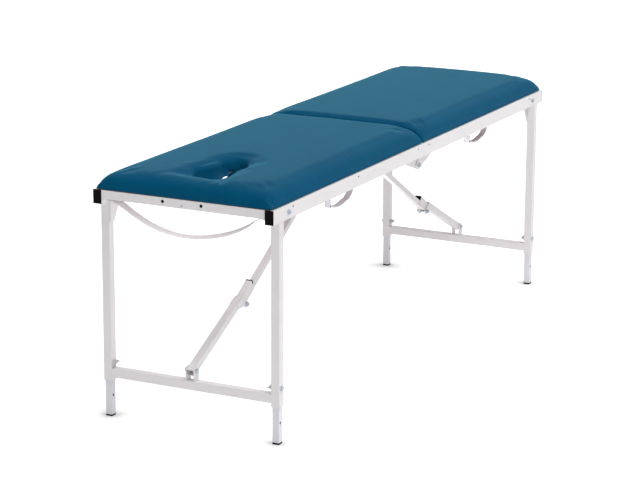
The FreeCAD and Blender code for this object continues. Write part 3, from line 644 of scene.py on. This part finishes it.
def new_piece(name, shape, slot, body):
    """Finish a small piece: mesh, smooth shading, material and the body it moves with."""
    bmesh.ops.recalc_face_normals(shape, faces=shape.faces)
    mesh = bpy.data.meshes.new(name)
    shape.to_mesh(mesh)
    shape.free()
    smooth(mesh)
    piece = link(bpy.data.objects.new(name, mesh))
    dress(piece, slot)
    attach(piece, body)
    return piece


def body_of(node):
    """Name of the body that a node moves with."""
    return NODES[node]["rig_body"]


def joint_place(name):
    """Place of a joint's axis."""
    return next(Vector(joint["pos_m"]) for joint in frame["joints"] if joint["name"] == name)


def facing(place, way):
    """Local frame at a place, with its Z axis along the given way."""
    return Matrix.Translation(place) @ Vector(way).to_track_quat("Z", "Y").to_matrix().to_4x4()


TURNED_SIDES = 20


def add_turned(shape, matrix, profile):
    """Turned form about a local Z axis, from (height, radius) points."""
    rings = []
    for height, radius in profile:
        ring = []
        for spot in range(TURNED_SIDES if radius else 1):
            angle = 2 * math.pi * spot / TURNED_SIDES
            place = Vector((radius * math.cos(angle), radius * math.sin(angle), height))
            ring.append(shape.verts.new(matrix @ place))
        rings.append(ring)
    for ring, following in zip(rings, rings[1:]):
        for spot in range(TURNED_SIDES):
            corners = [ring[spot % len(ring)], ring[(spot + 1) % len(ring)],
                       following[(spot + 1) % len(following)], following[spot % len(following)]]
            shape.faces.new(list(dict.fromkeys(corners)))


DOME_RADIUS = 6.1 * MM
DOME_HEIGHT = 2.4 * MM
DOME_STEPS = 5
SOCKET_RADIUS = 2.6 * MM
SOCKET_DEPTH = 1.5 * MM


def dome_profile():
    """Half outline of a domed bolt head with a drive socket: (height above the flat, radius)."""
    profile = [(0.0, 0.0)]
    for step in range(DOME_STEPS + 1):
        radius = DOME_RADIUS + (SOCKET_RADIUS - DOME_RADIUS) * step / DOME_STEPS
        profile.append((DOME_HEIGHT * math.sqrt(1 - (radius / DOME_RADIUS) ** 2), radius))
    floor = profile[-1][0] - SOCKET_DEPTH
    return profile + [(floor, SOCKET_RADIUS), (floor, 0.0)]


def make_dome(name, place, way, body):
    """Domed head on the flat end of a cross bolt."""
    shape = bmesh.new()
    add_turned(shape, facing(place, way), dome_profile())
    new_piece(name, shape, "bolts", body)


def make_domes():
    """Domes on the bolts of the leg pivots, the braces and the centre hinge."""
    bolts = [("centre_hinge_bolts", "centre_fold", SIDES)]
    for half, elbow_side in zip(HALVES, ("right", "left")):
        bolts.append((f"{half}_pivot_bolts", f"{half}_leg_fold", SIDES))
        bolts.append((f"{half}_elbow_bolt", f"{half}_brace_elbow", (elbow_side,)))
    for node, joint, sides in bolts:
        low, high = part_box(node)
        place = joint_place(joint)
        for side in sides:
            place.x = high.x if side == "right" else low.x
            make_dome(f"{node}_dome_{side}", place, OUTWARDS[side], body_of(node))


def add_prism(shape, matrix, outline, start, end):
    """Solid between two copies of an outline in local X and Z, set apart along local Y."""
    rings = []
    for y in (start, end):
        rings.append([shape.verts.new(matrix @ Vector((x, y, z))) for x, z in outline])
        shape.faces.new(rings[-1])
    for spot in range(len(outline)):
        after = (spot + 1) % len(outline)
        shape.faces.new((rings[0][spot], rings[0][after], rings[1][after], rings[1][spot]))


# Locking saddle: its reach along the upper tube from the elbow, then sizes square to that tube
SADDLE_LENGTH = 62 * MM
SADDLE_ROOF = 31.5 * MM
SADDLE_HALF_WIDTH = 10.2 * MM
SADDLE_TUBE_TOP = 18 * MM
LIP_LENGTH = 4.5 * MM
LIP_WIDTH = 3 * MM


def make_saddle_lip(half):
    """Black plastic edge round the open end of the brace's locking saddle."""
    elbow = joint_place(f"{half}_brace_elbow")
    up = (joint_place(f"{half}_brace_top_pivot") - elbow).normalized()
    across = Vector((1.0, 0.0, 0.0))
    square = across.cross(up) if up.y > 0 else up.cross(across)
    matrix = Matrix.Translation(elbow) @ Matrix((across, up, square)).transposed().to_4x4()
    shape = bmesh.new()
    outer = SADDLE_HALF_WIDTH
    inner = SADDLE_HALF_WIDTH - LIP_WIDTH
    ceiling = SADDLE_ROOF - LIP_WIDTH
    outline = [(-outer, SADDLE_TUBE_TOP), (-outer, SADDLE_ROOF),
               (outer, SADDLE_ROOF), (outer, SADDLE_TUBE_TOP),
               (inner, SADDLE_TUBE_TOP), (inner, ceiling),
               (-inner, ceiling), (-inner, SADDLE_TUBE_TOP)]
    add_prism(shape, matrix, outline, SADDLE_LENGTH, SADDLE_LENGTH + LIP_LENGTH)
    new_piece(f"{half}_saddle_lip", shape, "black_plastic", body_of(f"{half}_brace_saddle"))


# Adjusting hole of an inner leg, above the floor, and the black block behind it that paints shade into the
# hole
ADJUST_HEIGHT = 61 * MM
LEG_SHADE_HEIGHT = 14 * MM
LEG_SHADE_GAP = 1.6 * MM


def make_leg_shade_block(half, side):
    """Black block inside an inner leg behind its adjusting hole: painted shade that keeps the hole dark."""
    node = f"{half}_{side}_inner_leg"
    low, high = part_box(node)
    middle = (low + high) / 2
    middle.z = ADJUST_HEIGHT
    size = (high.x - low.x - 2 * LEG_SHADE_GAP, high.y - low.y - 2 * LEG_SHADE_GAP, LEG_SHADE_HEIGHT)
    place = Matrix.Translation(middle) @ Matrix.Diagonal((*size, 1.0))
    shape = bmesh.new()
    bmesh.ops.create_cube(shape, size=1.0, matrix=place)
    new_piece(f"{half}_{side}_leg_shade_block", shape, "black_plastic", body_of(node))


# Outlines in millimetres: height above the face, radius
# Dark disc just inside an access hole, which paints shade into it
ACCESS_SHADE_OUTLINE = [(-0.8, 0), (-0.8, 2.9), (-0.2, 2.9), (-0.2, 0)]
# Open black sleeve with a rim, which paints shade into a bracket hole
END_SHADE_OUTLINE = [(-9, 3), (0.5, 3), (0.5, 4.5), (0, 4.5), (0, 3.4), (-9, 3.4), (-9, 3)]
SCREW_OUTLINE = [(0, 0), (0, 2.6), (0.7, 2.1), (0.8, 0)]
# Access holes of a half, as distances from the middle of the table
ACCESS_PLACES = (863 * MM, 39 * MM)
ACCESS_HEIGHT = 657.5 * MM
RAIL_FACE = 280 * MM
END_SHADE_X = 60 * MM
END_SHADE_Y = -978 * MM
END_SHADE_HEIGHT = 657 * MM
HANDLE_SCREW_Y = -455 * MM


def make_dots(outline, dots, name, body):
    """Small dark turned pieces, as one, each at its place and facing its way."""
    profile = [(height * MM, radius * MM) for height, radius in outline]
    shape = bmesh.new()
    for place, way in dots:
        add_turned(shape, facing(place, way), profile)
    bmesh.ops.remove_doubles(shape, verts=shape.verts, dist=WELD)
    new_piece(name, shape, "black_plastic", body)


def make_access_hole_shades(half):
    """Dark discs just inside the access holes of one half's rails: painted shade in the holes."""
    end = -1 if half == "head" else 1
    dots = []
    for side in (-1, 1):
        for y in ACCESS_PLACES:
            dots.append(((side * RAIL_FACE, end * y, ACCESS_HEIGHT), (side, 0, 0)))
    make_dots(ACCESS_SHADE_OUTLINE, dots, f"{half}_access_hole_shades", f"{half}_section")


def make_end_hole_shades():
    """Black open sleeves in the two bracket holes of the head end crossbar: painted shade that makes the
    holes read dark.
    """
    dots = [((x, END_SHADE_Y, END_SHADE_HEIGHT), (0, -1, 0)) for x in (-END_SHADE_X, END_SHADE_X)]
    make_dots(END_SHADE_OUTLINE, dots, "end_hole_shades", "head_section")


def make_handle_screw():
    """Outer screw of the head half's handle."""
    dots = [((RAIL_FACE, HANDLE_SCREW_Y, ACCESS_HEIGHT), OUTWARDS["right"])]
    make_dots(SCREW_OUTLINE, dots, "handle_screw", "head_section")


# Carry handle: radius of the bend at its ends, sag of its middle and width of its band
HANDLE_BEND = 16 * MM
HANDLE_SAG = 6 * MM
HANDLE_WIDTH = 18 * MM
# Painted shadow line round the handle's bend: its thickness and its steps
SHADOW_LINE_RADIUS = 0.9 * MM
SHADOW_LINE_STEPS = 16


def make_handle_bend_shadow(half):
    """Dark rounded line round the tight bend at the handle's end nearer the head: painted shadow of the
    band's curl.
    """
    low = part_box(f"{half}_carry_handle")[0]
    bend_top = low.z + HANDLE_SAG + HANDLE_BEND
    reach = HANDLE_WIDTH / 2
    middle = Vector((low.x + reach, low.y, low.z + HANDLE_SAG + reach))
    curve = bpy.data.curves.new("bend_shadow", "CURVE")
    curve.dimensions = "3D"
    curve.bevel_depth = SHADOW_LINE_RADIUS
    spline = curve.splines.new("POLY")
    spline.points.add(SHADOW_LINE_STEPS)
    for step, point in enumerate(spline.points):
        angle = math.pi * (1 + step / SHADOW_LINE_STEPS)
        x = middle.x + reach * math.cos(angle)
        z = middle.z + reach * math.sin(angle)
        depth = HANDLE_BEND - math.sqrt(HANDLE_BEND ** 2 - min(bend_top - z, HANDLE_BEND) ** 2)
        point.co = (x, low.y + depth, z, 1.0)
    curve.use_fill_caps = True
    holder = link(bpy.data.objects.new("bend_shadow", curve))
    mesh = applied_mesh(holder)
    bpy.data.objects.remove(holder)
    smooth(mesh)
    piece = link(bpy.data.objects.new(f"{half}_handle_bend_shadow", mesh))
    dress(piece, "black_plastic")
    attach(piece, body_of(f"{half}_carry_handle"))


def dress_frame():
    """Give the drawn nodes the materials of their slots."""
    slots = {entry["node"]: entry["material_slot"] for entry in frame["record"]["subparts"]}
    for name, node in NODES.items():
        node.data.materials.clear()
        node.data.materials.append(PALE_ZINC if name.endswith("wing_nut") else MATERIALS[slots[name]])


# Stage

def add_camera():
    """Camera at the photograph's place and angle."""
    data = bpy.data.cameras.new("camera")
    data.lens = CAMERA_LENS
    data.sensor_width = SENSOR_WIDTH
    data.sensor_fit = "HORIZONTAL"
    data.clip_end = VIEW_REACH
    camera = link(bpy.data.objects.new("camera", data))
    turn = Matrix.Rotation(CAMERA_YAW, 4, "Z") @ Matrix.Rotation(math.pi / 2 - CAMERA_PITCH, 4, "X")
    camera.matrix_world = Matrix.Translation(CAMERA_PLACE) @ turn @ Matrix.Rotation(CAMERA_ROLL, 4, "Z")
    bpy.context.scene.camera = camera


SKY_STRENGTH = 0.35
# Lamps: strength, spread, and the direction that the light comes from
LAMPS = {
    "softbox": (2.0, math.radians(40), Vector((0.42, -0.05, 0.92))),
    "fill": (0.03, math.radians(60), Vector((0.35, -0.85, 0.25))),
}
# Soft panels under the table: place, point aimed at, size and power
PANELS = {
    "foot_panel": (Vector((0.0, -0.1, 0.35)), Vector((0.0, 0.93, 0.3)), 0.45, 1.5),
    "head_panel": (Vector((0.0, -0.7, 0.655)), Vector((0.0, -0.7, 0.0)), 0.42, 0.8),
}
FLOOR_SIZE = 30.0
FLOOR_COLOUR = 0.7
# Share of white added where the floor is seen, and how strongly the floor glows onto the object as painted
# bounce light
FLOOR_LIFT = 0.8
FLOOR_GLOW = 0.4
# Painted shade round the feet, from ambient occlusion: its reach, the share of open sky at which it is
# darkest, and the colour left there
CONTACT_REACH = 0.12
CONTACT_SKY = 0.8
CONTACT_DARK = 0.55


def calculate(tree, operation, first, second):
    """Math node on two sockets or plain numbers."""
    node = tree.nodes.new("ShaderNodeMath")
    node.operation = operation
    for slot, value in enumerate((first, second)):
        if isinstance(value, bpy.types.NodeSocket):
            tree.links.new(value, node.inputs[slot])
        else:
            node.inputs[slot].default_value = value
    return node.outputs["Value"]


def seen_share(tree):
    """One for rays from the camera, from mirrors and through glass, nought for light on the object."""
    rays = tree.nodes.new("ShaderNodeLightPath").outputs
    mirrored = calculate(tree, "MAXIMUM", rays["Is Camera Ray"], rays["Is Glossy Ray"])
    return calculate(tree, "MAXIMUM", mirrored, rays["Is Transmission Ray"])


def add_light():
    """White world, full white where it is seen, and the lamps."""
    world = bpy.data.worlds.new("studio")
    bpy.context.scene.world = world
    world.use_nodes = True
    tree = world.node_tree
    background = tree.nodes["Background"]
    background.inputs["Color"].default_value = (1.0, 1.0, 1.0, 1.0)
    extra = calculate(tree, "MULTIPLY", seen_share(tree), 1.0 - SKY_STRENGTH)
    tree.links.new(calculate(tree, "ADD", extra, SKY_STRENGTH), background.inputs["Strength"])
    for name, (strength, angle, origin) in LAMPS.items():
        data = bpy.data.lights.new(name, "SUN")
        data.energy = strength
        data.angle = angle
        lamp = link(bpy.data.objects.new(name, data))
        lamp.rotation_mode = "QUATERNION"
        lamp.rotation_quaternion = origin.to_track_quat("Z", "Y")


def add_panels():
    """Soft panels, unseen themselves, that light the legs, braces and strap in the table's shade."""
    for name, (place, aim, size, power) in PANELS.items():
        data = bpy.data.lights.new(name, "AREA")
        data.energy = power
        data.size = size
        panel = link(bpy.data.objects.new(name, data))
        panel.location = place
        panel.rotation_mode = "QUATERNION"
        panel.rotation_quaternion = (place - aim).to_track_quat("Z", "Y")
        panel.visible_camera = False
        panel.visible_glossy = False


def add_floor():
    """Pale floor that is lifted to white where it is seen, keeps the object's shadow, and has painted shade
    round the feet.
    """
    mesh = bpy.data.meshes.new("floor")
    shape = bmesh.new()
    bmesh.ops.create_grid(shape, x_segments=1, y_segments=1, size=FLOOR_SIZE)
    shape.to_mesh(mesh)
    shape.free()
    floor = link(bpy.data.objects.new("floor", mesh))
    material = bpy.data.materials.new("floor")
    material.use_nodes = True
    tree = material.node_tree
    surface = tree.nodes["Principled BSDF"]
    surface.inputs["Roughness"].default_value = 1.0
    surface.inputs["Specular IOR Level"].default_value = 0.0
    surface.inputs["Emission Color"].default_value = (1.0, 1.0, 1.0, 1.0)
    rays = tree.nodes.new("ShaderNodeLightPath").outputs
    # Painted shade: the floor darkens near the feet by ambient occlusion, not by the light that falls there
    near = tree.nodes.new("ShaderNodeAmbientOcclusion")
    near.inputs["Distance"].default_value = CONTACT_REACH
    darken = tree.nodes.new("ShaderNodeMapRange")
    darken.inputs["From Min"].default_value = CONTACT_SKY
    darken.inputs["To Min"].default_value = CONTACT_DARK
    tree.links.new(near.outputs["AO"], darken.inputs["Value"])
    painted_contact_shade = darken.outputs["Result"]
    colour = calculate(tree, "MULTIPLY", painted_contact_shade, FLOOR_COLOUR)
    seen = calculate(tree, "MULTIPLY", seen_share(tree), FLOOR_LIFT)
    lift = calculate(tree, "MULTIPLY", seen, painted_contact_shade)
    # The floor glows for light on the object: painted bounce light
    glow = calculate(tree, "MULTIPLY", rays["Is Diffuse Ray"], FLOOR_GLOW)
    tree.links.new(colour, surface.inputs["Base Color"])
    tree.links.new(calculate(tree, "ADD", lift, glow), surface.inputs["Emission Strength"])
    mesh.materials.append(material)


add_camera()
make_strap()
for half in HALVES:
    make_cushion(half)
dress_frame()
make_domes()
make_lining()
make_end_hole_shades()
make_handle_screw()
for half in HALVES:
    make_access_hole_shades(half)
    make_saddle_lip(half)
    make_handle_bend_shadow(half)
    for side in SIDES:
        make_leg_shade_block(half, side)
add_light()
add_panels()
add_floor()
bpy.context.scene.view_settings.view_transform = "Standard"
